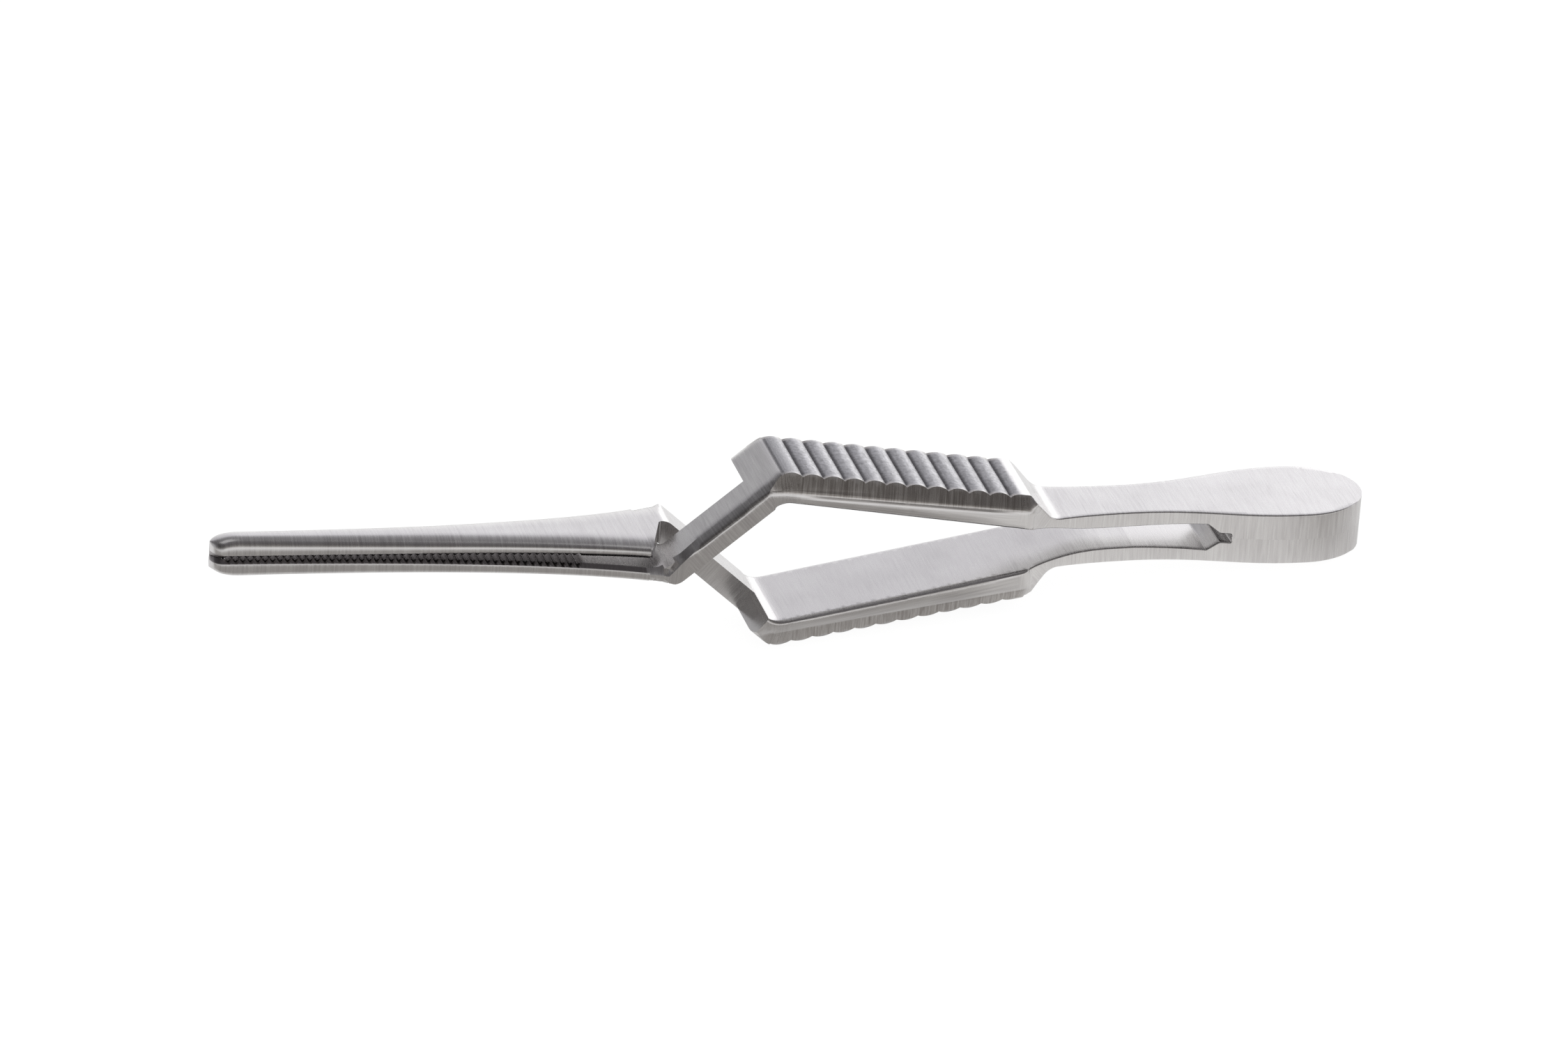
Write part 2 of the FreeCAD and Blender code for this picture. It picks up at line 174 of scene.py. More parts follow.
# A jaw point's height once the jaw is set: it rises in a straight line towards the tip.
def lifted(x, z, hand):
    return z + hand * math.tan(math.radians(jaws["set"])) * (arms["gripFront"] - x)


# Width and height of the outer edge's rounding.
def edgeRound(x, hand):
    inner, outer = jawHeights(x, hand)
    tip, ear = jaws["roundWide"][hand]
    wide = np.minimum(tip + (ear - tip) * ramp(x, *jaws["roundTurn"]), jaws["roundMost"] * jawHalfWidth(x))
    return wide, jaws["roundShare"][hand] * (outer - inner - jaws["chamfer"])


# How deep the teeth are cut: a triangle wave along the jaw, flattened a little at crest and root.
def toothBite(x):
    start, end = jaws["teethStart"], jaws["teethStart"] + jaws["teethLength"]
    wave = 2 * np.abs((x - start) / jaws["pitch"] % 1 - 0.5)
    there = stretch(x, start, start + jaws["teethGrow"], end - jaws["teethFade"], end + jaws["teethFade"])
    return jaws["depth"] * np.clip(jaws["toothSteep"] * wave - jaws["toothFlat"], 0, 1) * there


# A jaw as a section carried along it, with sections close together round the nose, several to a tooth, and wider
# apart behind the teeth. Half section, from the middle of the outer face: flat, a quarter of a superellipse (width
# times a power of the sine, height times one less a power of the cosine), side, bevel and inner face. The teeth are
# cut into the inner face, and fade out up the bevel.
def jawMesh(hand):
    teethEnd = jaws["teethStart"] + jaws["teethLength"]
    nose = jaws["noseHalf"] * (1 - np.cos(np.linspace(jaws["noseStart"], np.pi / 2, jaws["noseSteps"])))
    teeth = np.arange(jaws["noseHalf"] + 0.02, teethEnd + 0.3, jaws["pitch"] / jaws["toothSteps"])
    rear = np.linspace(teeth[-1] + 0.12, jaws["length"], jaws["rearSteps"])
    x = np.concatenate([nose[:-1], teeth, rear])[:, None]
    width = jawHalfWidth(x)
    inner, outer = jawHeights(x, hand)
    wide, tall = edgeRound(x, hand)
    cut = np.minimum(jaws["chamfer"], jaws["chamferMost"] * width)

    flat = np.linspace(0, 1, jaws["flatSteps"])[None, :-1]
    yFlat, zFlat = (width - wide) * flat, -outer + 0 * flat * x
    turn = np.linspace(0, 1, jaws["turnSteps"])[None, :] ** jaws["turnCrowding"] * np.pi / 2
    power = 2 / jaws["fullness"][hand]
    yRound = width - wide + wide * np.sin(turn) ** power
    zRound = -outer + tall * (1 - np.clip(np.cos(turn), 0, 1) ** power)
    down = np.array([jaws["sideShares"]])
    low, high = -outer + tall, -inner - jaws["chamfer"]
    ySide, zSide = width + 0 * down, low + (high - low) * down
    along = np.array([jaws["chamferShares"]])
    bite = toothBite(x)
    yBevel, zBevel = width - cut * along, high + (-inner - high) * along - bite * along
    across = np.linspace(1, 0, jaws["flatSteps"])[None, 1:]
    yInner, zInner = (width - cut) * across, -inner + 0 * across - bite

    y = np.concatenate([yFlat, yRound, ySide, yBevel, yInner], 1)
    z = np.concatenate([zFlat, zRound, zSide, zBevel, zInner], 1)
    y = np.concatenate([y, -y[:, -2:0:-1]], 1)
    z = np.concatenate([z, z[:, -2:0:-1]], 1)
    rows, around = y.shape
    points = np.stack([np.broadcast_to(x, y.shape), y, lifted(x, z, hand)], 2).reshape(-1, 3)
    i, j = np.meshgrid(np.arange(rows - 1), np.arange(around), indexing="ij")
    k = (j + 1) % around
    quads = np.stack([i * around + j, i * around + k, (i + 1) * around + k, (i + 1) * around + j], 2).reshape(-1, 4)
    caps = [list(range(around))[::-1], list(range((rows - 1) * around, rows * around))]
    mesh = bpy.data.meshes.new("jawSurface")
    mesh.from_pydata(rowPlace(points, hand).tolist(), [], quads.tolist() + caps)
    return mesh


# The long edges of the flat sides, from the crossing strip to the tail's end, but not the welded seam, the half lap,
# the ridges or the ground corner of a grip's nose.
def sideEdges(bm, hand, start, end):
    kept = []
    for e in bm.edges:
        if len(e.link_faces) != 2 or e.calc_face_angle(0.0) < math.radians(edges["foldAngle"]):
            continue
        x, y, z = armPlace(np.array([v.co for v in e.verts]), hand).T
        onGrip = x.max() < edges["gripEnd"]
        sideways = [abs(f.normal.y) for f in e.link_faces]
        wide = max(sideways) > edges["flatSide"][0 if onGrip else 1] and min(sideways) < edges["otherSide"]
        within = start < x.mean() < end and x.min() > edges["rounding"][0][1]
        outside = np.abs(y).min() > edges["middle"] and (z.min() > edges["seam"] or onGrip)
        onNose = x.mean() < edges["nose"][0] and z.max() > edges["nose"][1] and y.mean() > 0
        if wide and within and outside and not onNose:
            kept.append(e)
    return kept


# The solid's own loose triangles, with the corners that share a place joined, as a new mesh.
def joinedCopy(name, node):
    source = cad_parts[node].data
    co = np.zeros(len(source.vertices) * 3)
    source.vertices.foreach_get("co", co)
    co = co.reshape(-1, 3)
    tris = np.zeros(len(source.polygons) * 3, np.int32)
    source.polygons.foreach_get("vertices", tris)
    perMetre = 2e6    # places are rounded to half a thousandth of a mm
    keys, first, where = np.unique(np.round(co * perMetre).astype(np.int64), axis=0, return_index=True,
                                   return_inverse=True)
    tris = where.ravel()[tris].reshape(-1, 3)
    tris = tris[(tris[:, 0] != tris[:, 1]) & (tris[:, 1] != tris[:, 2]) & (tris[:, 2] != tris[:, 0])]
    mesh = bpy.data.meshes.new(name)
    mesh.from_pydata(co[first].tolist(), [], tris.tolist())
    return mesh


# The forging's own faces, joined, with the jaw cut off, the sharp outer edges eased and long edges split, so that
# the belt's rounding can follow. The worked jaw then takes the old one's place.
def workedMesh(name, node, hand):
    mesh = joinedCopy(name, node)
    bm = bmesh.new(); bm.from_mesh(mesh)
    cutPlace, cutWay = rowPlace(np.array([[jaws["length"], 0, 0], [jaws["length"] - 1, 0, 0]]), hand)
    bmesh.ops.bisect_plane(bm, geom=bm.verts[:] + bm.edges[:] + bm.faces[:], dist=1e-7, plane_co=cutPlace,
                           plane_no=cutWay - cutPlace, clear_outer=True)
    bmesh.ops.holes_fill(bm, edges=[e for e in bm.edges if e.is_boundary], sides=0)
    bmesh.ops.dissolve_limit(bm, angle_limit=math.radians(arms["flatAngle"]), verts=bm.verts, edges=bm.edges)
    for width, start, end in edges["rounding"]:
        bmesh.ops.bevel(bm, geom=sideEdges(bm, hand, start, end), offset=width / 1000, offset_type="OFFSET",
                        segments=edges["steps"], profile=0.5, affect="EDGES", clamp_overlap=False)
    bmesh.ops.triangulate(bm, faces=bm.faces)
    for step in range(arms["cellRounds"]):
        long = [e for e in bm.edges if e.calc_length() > arms["cell"] / 1000]
        if not long:
            break
        bmesh.ops.subdivide_edges(bm, edges=long, cuts=1)
        bmesh.ops.triangulate(bm, faces=[f for f in bm.faces if len(f.verts) > 3])
    bm.to_mesh(mesh)
    co = np.zeros(len(mesh.vertices) * 3)
    mesh.vertices.foreach_get("co", co)
    co = roundHeel(roundStrip(crownSides(co.reshape(-1, 3), hand), hand), hand)
    mesh.vertices.foreach_set("co", co.ravel())
    bm.free(); bm = bmesh.new(); bm.from_mesh(mesh)
    bm.from_mesh(jawMesh(hand))
    bmesh.ops.recalc_face_normals(bm, faces=bm.faces)
    for e in bm.edges:
        e.smooth = len(e.link_faces) == 2 and e.calc_face_angle(0.0) < math.radians(edges["crispAngle"])
    for f in bm.faces:
        f.smooth = True
    bm.to_mesh(mesh); bm.free()
    return mesh


# Depth of the pad's wide edge bevel, in a straight line from the grip's front to its rear.
def bevelDrop(x):
    return np.interp(x, (arms["gripFront"], arms["gripRear"]), arms["bevelDrop"])


# The belt leaves the flat sides slightly crowned: a side stands out by crown times its height times one less the
# square of the share of the way from its middle to its edge.
def crownSides(co, hand):
    x, y, z = armPlace(co, hand).T
    inner = arms["innerFront"] - arms["innerFall"] * (x - arms["gripFront"])
    bevel = arms["padFront"] - arms["padFall"] * (x - arms["gripFront"]) - bevelDrop(x)
    share = np.clip(2 * (z - inner) / (bevel - inner) - 1, -1, 1)
    there = nearSide(y, *arms["crownEdge"]) * stretch(x, *arms["crownSpan"])
    co[:, 1] += np.sign(co[:, 1]) * arms["crown"] * (bevel - inner) / 1000 * (1 - share ** 2) * there
    return co


# The crossing strip's outer edge falls away like a parabola, by its drop times the square of how far a point is into
# the rounding, in place of the flat bevel, whose straight fall is filled in.
def roundStrip(co, hand):
    local = armPlace(co, hand)
    x, y, z = local.T
    startX, startZ = strip["low"]
    angle = math.radians(strip["climb"][hand])
    depth = (startZ[hand] + math.tan(angle) * (x - startX) - z) * math.cos(angle)
    inwards = arms["halfWidth"] - np.abs(y)
    wide, drop = strip["round"]
    rounded = drop * np.clip(1 - inwards / wide, 0, 1) ** 2 * stretch(x, *strip["reach"])
    flatWide, flatDrop = strip["flatBevel"]
    starts, full, thins, ends = strip["bevelReach"]
    here = ramp(x, starts, full) * np.interp(x, (thins, ends), (1, strip["bevelLeft"])) * (x < ends)
    filled = flatDrop * np.clip(1 - inwards / flatWide, 0, 1) * here
    sink = (rounded - filled) * np.clip(1 - depth / strip["sideDepth"], 0, 1) * (depth > -strip["above"])
    shift = np.stack([sink * math.sin(angle), 0 * x, -sink * math.cos(angle)], 1)
    return rowPlace(local + shift, hand)


# Behind the worked jaw the rear of the ear keeps the jaw's rounded outer edge: a quarter ellipse, fading out towards
# the strip. The side wall is squeezed to meet it.
def roundHeel(co, hand):
    local = armPlace(co, hand)
    x, y, z = local.T
    over = (x > jaws["length"] - 0.01) & (x < jaws["earX"] + jaws["heelReach"])
    width = jawHalfWidth(np.minimum(x, jaws["earX"]))
    gap, height = jawHeights(x, hand)
    outer, face = lifted(x, -height, hand), lifted(x, -gap, hand)
    wide, tall = edgeRound(x, hand)
    fade = 1 - ramp(x, *[jaws["earX"] + past for past in jaws["heelFade"][hand]])
    wide, tall = np.maximum(wide, 1e-3), tall * fade
    above = z - outer
    inward = np.clip((wide - (width - np.abs(y))) / wide, 0, 1)
    reach = (face - outer) - jaws["chamfer"]
    onWall = (np.abs(y) > width - jaws["heelWall"]) & (above < reach)
    onFace = above < jaws["heelFace"]
    squeezed = tall + above * (reach - tall) / reach - above
    sunk = tall * (1 - np.sqrt(1 - inward ** 2)) * onFace
    shift = np.zeros_like(co)
    shift[:, 2] = np.where(over, np.where(onWall, squeezed, sunk), 0)
    return rowPlace(local + shift, hand)


marked = {
    # degrees that each stretch of an arm climbs towards the tail, and the places over which it turns that way
    "stretches": [(40.5, (32.6, 34.4)), (-9.7, (40.4, 42.4)), (-40.0, (59.4, 60.4)), (-1.5, (61.6, 63.0)),
                  (0.0, (72, 76))],
    "ridgePitch": 1.588, "ridgeLean": 8.8,     # mm, and degrees by which the row of ridges falls
    "ridgesBefore": 40,                        # keeps the count above nought over the whole arm
    # where a finish grows and fades: along the arm, inwards from the flat side, and in height
    "padSpan": (41.04, 41.24, 59.0, 59.4), "padEdge": (0.8, 0.7), "padDepth": (0.62, 0.5),
    "bevelSpan": (39.6, 41.0, 59.6, 60.2), "bevelEdge": (0.77, 0.7), "bevelRise": (-0.02, 0.1),
    "sideSpan": (41.5, 43.5, 58.5, 60), "sideEdge": (0.06, 0.01),
    "teethEnd": (26.9, 27.2), "bevelEnd": 31.5,     # behind the teeth only the face's bevel is marked, up to here
    "teethMargin": 0.02, "faceMargin": 0.05,        # below the bevel, and below the face
}


# Where each finish goes. Run: distance along the arm's own slope, so that marks across it stay square to it.
# Ridged: the humps of the pad. Ridge: how many pitches along the row of ridges. Side: the flat sides, whose marks
# run lengthwise. Bevel: the pad's wide, ground edge. Teeth: the jaw's inner face, where less light comes in, so its
# colour is painted darker there as shade.
def finishMarks(mesh, hand):
    co = np.zeros(len(mesh.vertices) * 3)
    mesh.vertices.foreach_get("co", co)
    x, y, z = armPlace(co.reshape(-1, 3), hand).T
    slope = np.zeros_like(x)
    for (climb, turn), following in zip(marked["stretches"], marked["stretches"][1:]):
        slope += np.radians(climb) * (ramp(x, *turn) - ramp(x, *following[1]))
    run = np.stack([x * np.cos(slope) + z * np.sin(slope), y, z * np.cos(slope) - x * np.sin(slope)], 1)

    padTop = arms["padFront"] - arms["padFall"] * (x - arms["gripFront"])
    deep, shallow = marked["padDepth"]
    onPad = stretch(x, *marked["padSpan"]) * (1 - nearSide(y, *marked["padEdge"]))
    ridged = onPad * ramp(z, padTop - deep, padTop - shallow)
    lean = math.radians(marked["ridgeLean"])
    alongRow = (x - arms["gripFront"]) * math.cos(lean) - (z - arms["padFront"]) * math.sin(lean)
    ridge = alongRow / marked["ridgePitch"] + marked["ridgesBefore"]

    # the pad's wide bevel, whose colour is partly its own warmer ground tone and partly painted shade
    foot = padTop - bevelDrop(x)
    below, above = marked["bevelRise"]
    onEdge = stretch(x, *marked["bevelSpan"]) * nearSide(y, *marked["bevelEdge"])
    bevel = onEdge * ramp(z, foot + below, foot + above)
    side = nearSide(y, *marked["sideEdge"]) * stretch(x, *marked["sideSpan"])
    # the jaw's inner face, which the material darkens as painted shade
    face = lifted(x, -jawHeights(np.clip(x, 0, jaws["earX"]), hand)[0], hand)
    toothed = 1 - ramp(x, *marked["teethEnd"])
    behind = (1 - toothed) * (x < marked["bevelEnd"]) * (z < face - marked["faceMargin"])
    shadedTeethFace = (z > face - jaws["chamfer"] - marked["teethMargin"]) * (toothed + behind)

    run3d = mesh.attributes.new("run", "FLOAT_VECTOR", "POINT")
    run3d.data.foreach_set("vector", run.astype(np.float32).ravel())
    marks = {"ridged": ridged, "side": side, "bevel": bevel, "teeth": shadedTeethFace, "ridge": ridge}
    for key, values in marks.items():
        layer = mesh.attributes.new(key, "FLOAT", "POINT")
        layer.data.foreach_set("value", values.astype(np.float32))


# sRGB hex to linear: each channel's curve undone.
def linear(hexColour):
    channels = [int(hexColour[i:i + 2], 16) / 255 for i in (1, 3, 5)]
    return tuple(c / 12.92 if c <= 0.04045 else ((c + 0.055) / 1.055) ** 2.4 for c in channels) + (1.0,)


# A node with its settings (attributes, or socket values by name or number) and its links {socket: output}.
def addNode(tree, kind, settings=None, links=None):
    node = tree.nodes.new(kind)
    for key, value in (settings or {}).items():
        if isinstance(key, int) or key in node.inputs:
            node.inputs[key].default_value = value
        else:
            setattr(node, key, value)
    for key, output in (links or {}).items():
        tree.links.new(output, node.inputs[key])
    return node


# A colour ramp's stops, as (place, hex), and its colour output.
def setRamp(node, stops):
    marks = node.color_ramp.elements
    while len(marks) < len(stops):
        marks.new(0.5)
    for mark, (place, colour) in zip(marks, stops):
        mark.position = place
        mark.color = linear(colour)
    return node.outputs["Color"]


steel = {
    "dark": "#bfbdbd", "middle": "#cdcbcb", "light": "#dbdad9",
    "humpDark": "#9a999b", "humpLight": "#c6c5c8",
    # the pad's wide bevel: its own warmer ground tone with stronger streaks, darkened further as painted shade
    "bevelDark": "#8e8986", "bevelLight": "#bcb9b7",
    # painted shade: the jaw's inner face between the closed jaws is darkened by this
    "teeth": "#b8b5b6",
    # painted shade and highlight over each ridge: darkest in the valley, darker over the hump, full on the flank
    # before the next valley
    "valleyShadeAndHighlight": [(0.0, "#6e6c6e"), (0.06, "#8e8d8f"), (0.16, "#d9d9da"), (0.55, "#e2e2e3"), (0.82, "#ffffff"),
               (0.95, "#ffffff"), (0.985, "#6e6c6e")],    # over one ridge, from valley to valley
    "acrossPerMm": 7.5,      # grit 120 belt marks are about 0.1 mm apart; drawn at 0.13 mm, as fine as a render shows
    "acrossStretch": 0.35,   # per mm along a mark
    "alongPerMm": 6.0, "alongStretch": (0.22, 3.0),
    "speckPerMm": 3.4,       # tumbled grain on the ridges, about 0.3 mm
    "cloudPerMm": 0.28, "cloudShare": 0.35,         # uneven hand pressure on the belt, over about 4 mm
    "roughness": (0.2, 0.3), "ridgeRougher": 0.12,
    "markDepth": 0.0022, "bevelDepth": 0.006, "speckDepth": 0.012,   # mm
}


# Martensitic stainless steel, forged, belt ground across its length and lightly tumbled: a grey mirror broken by
# fine marks square to the arm, lengthwise marks on the grips' flat sides, and speckled ridges that the belt missed.
# Its colour also carries painted shade: in the valleys between the ridges, with a painted highlight on each flank,
# on the jaw's inner face, and in part on the pad's wide bevel.
def satinGroundSteel(name):
    material = bpy.data.materials.new(name)
    material.use_nodes = True
    tree = material.node_tree
    tree.nodes.clear()
    run = addNode(tree, "ShaderNodeAttribute", {"attribute_name": "run"}).outputs["Vector"]
    ridged, side, bevel, ridge, teeth = [addNode(tree, "ShaderNodeAttribute", {"attribute_name": key}).outputs["Fac"]
                                         for key in ("ridged", "side", "bevel", "ridge", "teeth")]

    acrossScale = (steel["acrossPerMm"], steel["acrossStretch"], steel["acrossStretch"])
    alongScale = steel["alongStretch"] + (steel["alongPerMm"],)
    crosswise = addNode(tree, "ShaderNodeVectorMath", {"operation": "MULTIPLY", 1: acrossScale}, {0: run})
    lengthwise = addNode(tree, "ShaderNodeVectorMath", {"operation": "MULTIPLY", 1: alongScale}, {0: run})
    across = addNode(tree, "ShaderNodeTexNoise", {"Scale": 1.0, "Detail": 3.0, "Roughness": 0.6, "Distortion": 0.15},
                     {"Vector": crosswise.outputs["Vector"]}).outputs["Fac"]
    along = addNode(tree, "ShaderNodeTexNoise", {"Scale": 1.0, "Detail": 3.0, "Roughness": 0.6},
                    {"Vector": lengthwise.outputs["Vector"]}).outputs["Fac"]
    speck = addNode(tree, "ShaderNodeTexNoise", {"Scale": steel["speckPerMm"], "Detail": 4.0, "Roughness": 0.7},
                    {"Vector": run}).outputs["Fac"]
    cloud = addNode(tree, "ShaderNodeTexNoise", {"Scale": steel["cloudPerMm"], "Detail": 2.0, "Roughness": 0.5},
                    {"Vector": run}).outputs["Fac"]
    marks = addNode(tree, "ShaderNodeMix", {"data_type": "FLOAT"}, {0: side, 2: across, 3: along}).outputs[0]

    tone = addNode(tree, "ShaderNodeMath", {"operation": "MULTIPLY_ADD", 1: steel["cloudShare"]},
                   {0: cloud, 2: marks}).outputs[0]
    ground = setRamp(addNode(tree, "ShaderNodeValToRGB", None, {"Fac": tone}),
                     [(0.42, steel["dark"]), (0.66, steel["middle"]), (0.95, steel["light"])])
    humps = setRamp(addNode(tree, "ShaderNodeValToRGB", None, {"Fac": speck}),
                    [(0.34, steel["humpDark"]), (0.62, steel["humpLight"])])
    # painted valley shade and flank highlight, by where a point lies within its ridge
    part = addNode(tree, "ShaderNodeMath", {"operation": "FRACT"}, {0: ridge}).outputs[0]
    valleyShadeAndHighlight = setRamp(addNode(tree, "ShaderNodeValToRGB", None, {"Fac": part}), steel["valleyShadeAndHighlight"])
    # the bevel's warmer tone and painted shade, streaked by the marks across
    bevelToneAndShade = setRamp(addNode(tree, "ShaderNodeValToRGB", None, {"Fac": across}),
                   [(0.3, steel["bevelDark"]), (0.7, steel["bevelLight"])])
    colour = addNode(tree, "ShaderNodeMix", {"data_type": "RGBA"}, {0: ridged, 6: ground, 7: humps}).outputs[2]
    # the ridges' colour times the painted valley shade and flank highlight
    colour = addNode(tree, "ShaderNodeMix", {"data_type": "RGBA", "blend_type": "MULTIPLY"},
                     {0: ridged, 6: colour, 7: valleyShadeAndHighlight}).outputs[2]
    colour = addNode(tree, "ShaderNodeMix", {"data_type": "RGBA"}, {0: bevel, 6: colour, 7: bevelToneAndShade}).outputs[2]
    # painted shade on the jaw's inner face, where less light comes in between the jaws
    colour = addNode(tree, "ShaderNodeMix",
                     {"data_type": "RGBA", "blend_type": "MULTIPLY", 7: linear(steel["teeth"])},
                     {0: teeth, 6: colour}).outputs[2]

    low, high = steel["roughness"]
    rough = addNode(tree, "ShaderNodeMapRange", {"From Min": 0.3, "From Max": 0.7, "To Min": low, "To Max": high},
                    {"Value": marks}).outputs[0]
    rough = addNode(tree, "ShaderNodeMath", {"operation": "MULTIPLY_ADD", 1: steel["ridgeRougher"]},
                    {0: ridged, 2: rough}).outputs[0]

    depth = addNode(tree, "ShaderNodeMix", {"data_type": "FLOAT", 2: steel["markDepth"], 3: steel["bevelDepth"]},
                    {0: bevel}).outputs[0]
    height = addNode(tree, "ShaderNodeMath", {"operation": "MULTIPLY"}, {0: marks, 1: depth}).outputs[0]
    grain = addNode(tree, "ShaderNodeMath", {"operation": "MULTIPLY", 1: steel["speckDepth"]}, {0: speck}).outputs[0]
    surface = addNode(tree, "ShaderNodeMix", {"data_type": "FLOAT"}, {0: ridged, 2: height, 3: grain}).outputs[0]
    # the heights above are in mm
    bump = addNode(tree, "ShaderNodeBump", {"Strength": 1.0, "Distance": 0.001}, {"Height": surface})
    shader = addNode(tree, "ShaderNodeBsdfPrincipled", {"Metallic": 1.0},
                     {"Base Color": colour, "Roughness": rough, "Normal": bump.outputs["Normal"]})
    addNode(tree, "ShaderNodeOutputMaterial", None, {"Surface": shader.outputs[0]})
    return material


finish = satinGroundSteel("satinGroundStainless")
print("finish made")


def forging(name, node, hand):
    mesh = workedMesh(name, node, hand)
    finishMarks(mesh, hand)
    mesh.materials.append(finish)
    piece = bpy.data.objects.new(name, mesh)
    bpy.context.scene.collection.objects.link(piece)
    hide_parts(node)
    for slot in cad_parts[node].material_slots:
        slot.material = finish
    print(name, len(mesh.polygons), "faces")
    return piece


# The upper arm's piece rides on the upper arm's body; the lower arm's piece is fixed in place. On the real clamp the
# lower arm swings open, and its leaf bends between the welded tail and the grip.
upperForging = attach(forging("upperForging", "upper_arm", 1), "upper_arm")
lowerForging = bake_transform(forging("lowerForging", "lower_arm", -1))
print("forgings made")

studio = {
    "floorSize": 3.0, "floorTone": "#f4f4f4",
    "floorShown": 1.1, "floorDirect": 0.85,               # its brightness seen directly, and the share of that
    "backdrop": 1.0, "worldForDiffuse": 0.8,
    # what a mirror sees of the white tent, by height (the sine of the angle above the floor): behind the clamp, and
    # towards its open front
    "behind": [(0.0, "#ffffff"), (0.3, "#fafafc"), (0.5, "#f0eff4"), (0.64, "#98979a"), (1.0, "#6a686a")],
    "front": [(0.0, "#ffffff"), (0.14, "#ebe9e7"), (0.36, "#827f7c"), (0.7, "#585556"), (1.0, "#6a686a")],
    "backWay": (-0.2, 0.98, 0.0), "backTurn": 0.35,       # the way to the back, and how softly front turns to back
    "leftTone": 0.55, "rightTone": 1.2, "sideTurn": (-0.42, 0.22),
    # the same for the floor, over these metres: from ahead of the clamp to behind it, and along its length; these are
    # painted shade, grey just ahead of the clamp, and painted light under its leaf and tail, which only a mirror sees
    "floorShadeAhead": [(0.0, "#ffffff"), (0.3, "#f6f5f4"), (0.55, "#a9a6a3"), (0.74, "#aba8a5"), (0.79, "#dddcdb"),
                   (0.9, "#ffffff")],
    "floorAheadReach": (-0.12, 0.03),
    "floorLightAlong": [(0.0, "#000000"), (0.62, "#000000"), (0.70, "#e6e4e1"), (0.86, "#dcdad8"), (0.93, "#8c8a88")],
    "floorAlongReach": (-0.05, 0.05),
}


# The light path, and 1 for rays that show the background itself: straight from the camera or through glass.
def seenDirectly(tree):
    path = addNode(tree, "ShaderNodeLightPath")
    seen = addNode(tree, "ShaderNodeMath", {"operation": "MAXIMUM"},
                   {0: path.outputs["Is Camera Ray"], 1: path.outputs["Is Transmission Ray"]}).outputs[0]
    return path, seen


# World: white behind the object. A mirror also sees the tent's greyer left side and its dark opening.
def whiteTent():
    world = bpy.data.worlds.new("whiteTent")
    bpy.context.scene.world = world
    world.use_nodes = True
    tree = world.node_tree
    tree.nodes.clear()
    path, seen = seenDirectly(tree)
    way = addNode(tree, "ShaderNodeTexCoord").outputs["Generated"]
    parts = addNode(tree, "ShaderNodeSeparateXYZ", None, {0: way})
    behind = setRamp(addNode(tree, "ShaderNodeValToRGB", None, {"Fac": parts.outputs["Z"]}), studio["behind"])
    front = setRamp(addNode(tree, "ShaderNodeValToRGB", None, {"Fac": parts.outputs["Z"]}), studio["front"])
    back = addNode(tree, "ShaderNodeVectorMath", {"operation": "DOT_PRODUCT", 1: studio["backWay"]},
                   {0: way}).outputs["Value"]
    turn = studio["backTurn"]
    half = addNode(tree, "ShaderNodeMapRange",
                   {"interpolation_type": "SMOOTHSTEP", "From Min": -turn, "From Max": turn},
                   {"Value": back}).outputs[0]
    walls = addNode(tree, "ShaderNodeMix", {"data_type": "RGBA"}, {0: half, 6: front, 7: behind}).outputs[2]
    left, right = studio["sideTurn"]
    across = addNode(tree, "ShaderNodeMapRange",
                     {"interpolation_type": "SMOOTHSTEP", "From Min": left, "From Max": right,
                      "To Min": studio["leftTone"], "To Max": studio["rightTone"]},
                     {"Value": parts.outputs["X"]}).outputs[0]
    tent = addNode(tree, "ShaderNodeVectorMath", {"operation": "SCALE"},
                   {0: walls, "Scale": across}).outputs["Vector"]
    plain = (studio["worldForDiffuse"],) * 3 + (1.0,)
    white = (studio["backdrop"],) * 3 + (1.0,)
    mirror = addNode(tree, "ShaderNodeMix", {"data_type": "RGBA", 6: plain},
                     {0: path.outputs["Is Glossy Ray"], 7: tent}).outputs[2]
    shown = addNode(tree, "ShaderNodeMix", {"data_type": "RGBA", 7: white}, {0: seen, 6: mirror}).outputs[2]
    light = addNode(tree, "ShaderNodeBackground", {"Strength": 1.0}, {"Color": shown})
    addNode(tree, "ShaderNodeOutputWorld", None, {"Surface": light.outputs[0]})
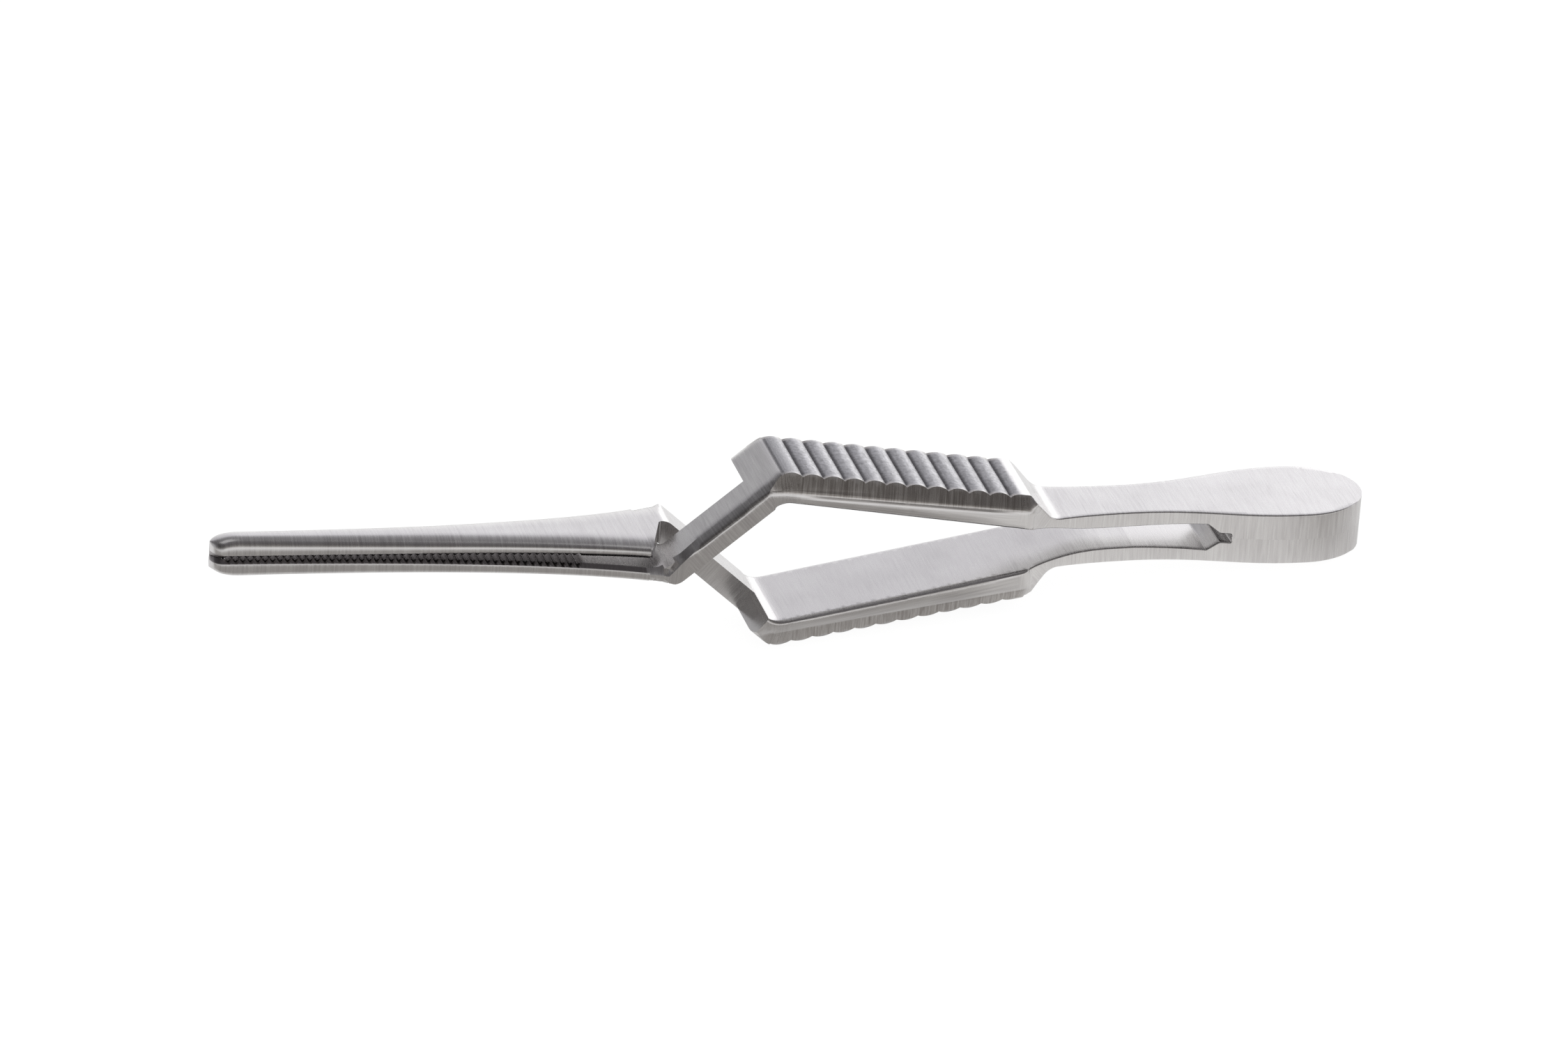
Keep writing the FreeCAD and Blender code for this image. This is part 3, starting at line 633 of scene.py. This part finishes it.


# A flat square under the clamp. Seen directly it is mostly plain white, and the rest keeps the shadow. A mirror sees
# it in the tones above: painted shade just ahead of the clamp, and painted light under its leaf and tail.
def whiteFloor():
    half = studio["floorSize"] / 2
    mesh = bpy.data.meshes.new("floorSheet")
    mesh.from_pydata([(-half, -half, 0), (half, -half, 0), (half, half, 0), (-half, half, 0)], [], [(0, 1, 2, 3)])
    floor = bpy.data.objects.new("floorSheet", mesh)
    bpy.context.scene.collection.objects.link(floor)
    material = bpy.data.materials.new("mattWhitePaper")
    material.use_nodes = True
    tree = material.node_tree
    tree.nodes.clear()
    path, seen = seenDirectly(tree)
    glossy = path.outputs["Is Glossy Ray"]
    place = addNode(tree, "ShaderNodeSeparateXYZ", None,
                    {0: addNode(tree, "ShaderNodeTexCoord").outputs["Object"]})
    # painted shade on the floor just ahead of the clamp, and painted light under its leaf and tail, for mirrors only
    first, last = studio["floorAheadReach"]
    ahead = addNode(tree, "ShaderNodeMapRange", {"From Min": first, "From Max": last},
                    {"Value": place.outputs["Y"]}).outputs[0]
    shadeAheadOnFloor = setRamp(addNode(tree, "ShaderNodeValToRGB", None, {"Fac": ahead}), studio["floorShadeAhead"])
    first, last = studio["floorAlongReach"]
    along = addNode(tree, "ShaderNodeMapRange", {"From Min": first, "From Max": last},
                    {"Value": place.outputs["X"]}).outputs[0]
    lightAlongOnFloor = setRamp(addNode(tree, "ShaderNodeValToRGB", None, {"Fac": along}), studio["floorLightAlong"])
    paintedShadeAndLight = addNode(tree, "ShaderNodeMix", {"data_type": "RGBA", "blend_type": "SCREEN", 0: 1.0},
                    {6: shadeAheadOnFloor, 7: lightAlongOnFloor}).outputs[2]
    shown = (studio["floorShown"],) * 3 + (1.0,)
    tone = addNode(tree, "ShaderNodeMix", {"data_type": "RGBA", 6: shown}, {0: glossy, 7: paintedShadeAndLight}).outputs[2]
    paper = addNode(tree, "ShaderNodeBsdfDiffuse", {"Color": linear(studio["floorTone"])})
    white = addNode(tree, "ShaderNodeEmission", {"Strength": 1.0}, {"Color": tone})
    direct = addNode(tree, "ShaderNodeMath", {"operation": "MULTIPLY", 1: studio["floorDirect"]},
                     {0: seen}).outputs[0]
    share = addNode(tree, "ShaderNodeMath", {"operation": "MAXIMUM"}, {0: direct, 1: glossy}).outputs[0]
    both = addNode(tree, "ShaderNodeMixShader", None, {0: share, 1: paper.outputs[0], 2: white.outputs[0]})
    addNode(tree, "ShaderNodeOutputMaterial", None, {"Surface": both.outputs[0]})
    mesh.materials.append(material)


lamps = [
    {"name": "backRightBox", "place": (0.55, 0.72, 0.12), "size": 0.5, "power": 0.55},
    {"name": "topBox", "place": (-0.05, 0.10, 0.95), "size": 0.5, "power": 0.35},
]
lampAim = (0, 0, 0.006)


# Square area lamps that face the middle of the clamp.
def softBoxes():
    aim = Vector(lampAim)
    for lamp in lamps:
        data = bpy.data.lights.new(lamp["name"], "AREA")
        data.size, data.energy = lamp["size"], lamp["power"]
        light = bpy.data.objects.new(lamp["name"], data)
        place = Vector(lamp["place"])
        light.matrix_world = Matrix.Translation(place) @ (place - aim).to_track_quat("Z", "Y").to_matrix().to_4x4()
        bpy.context.scene.collection.objects.link(light)


photo = {
    "place": (-156.2359, -670.6282, 362.2993),    # mm
    "right": (0.968272, -0.246478, -0.041196),
    "up": (0.148422, 0.434593, 0.888313),
    "back": (-0.201046, -0.866243, 0.457388),
    "sensor": 36.0, "lens": 245.76,
}


# The photograph's long lens and its place, worked out from the clamp's own edges.
def photoCamera():
    data = bpy.data.cameras.new("photoCamera")
    data.sensor_width, data.lens = photo["sensor"], photo["lens"]
    data.clip_start, data.clip_end = 0.05, 20.0
    camera = bpy.data.objects.new("photoCamera", data)
    place = Vector(photo["place"]) / 1000
    turned = Matrix((photo["right"], photo["up"], photo["back"])).transposed().to_4x4()
    camera.matrix_world = Matrix.Translation(place) @ turned
    bpy.context.scene.collection.objects.link(camera)
    bpy.context.scene.camera = camera


whiteTent()
whiteFloor()
softBoxes()
photoCamera()
bpy.context.scene.view_settings.view_transform = "Standard"
print("studio made")
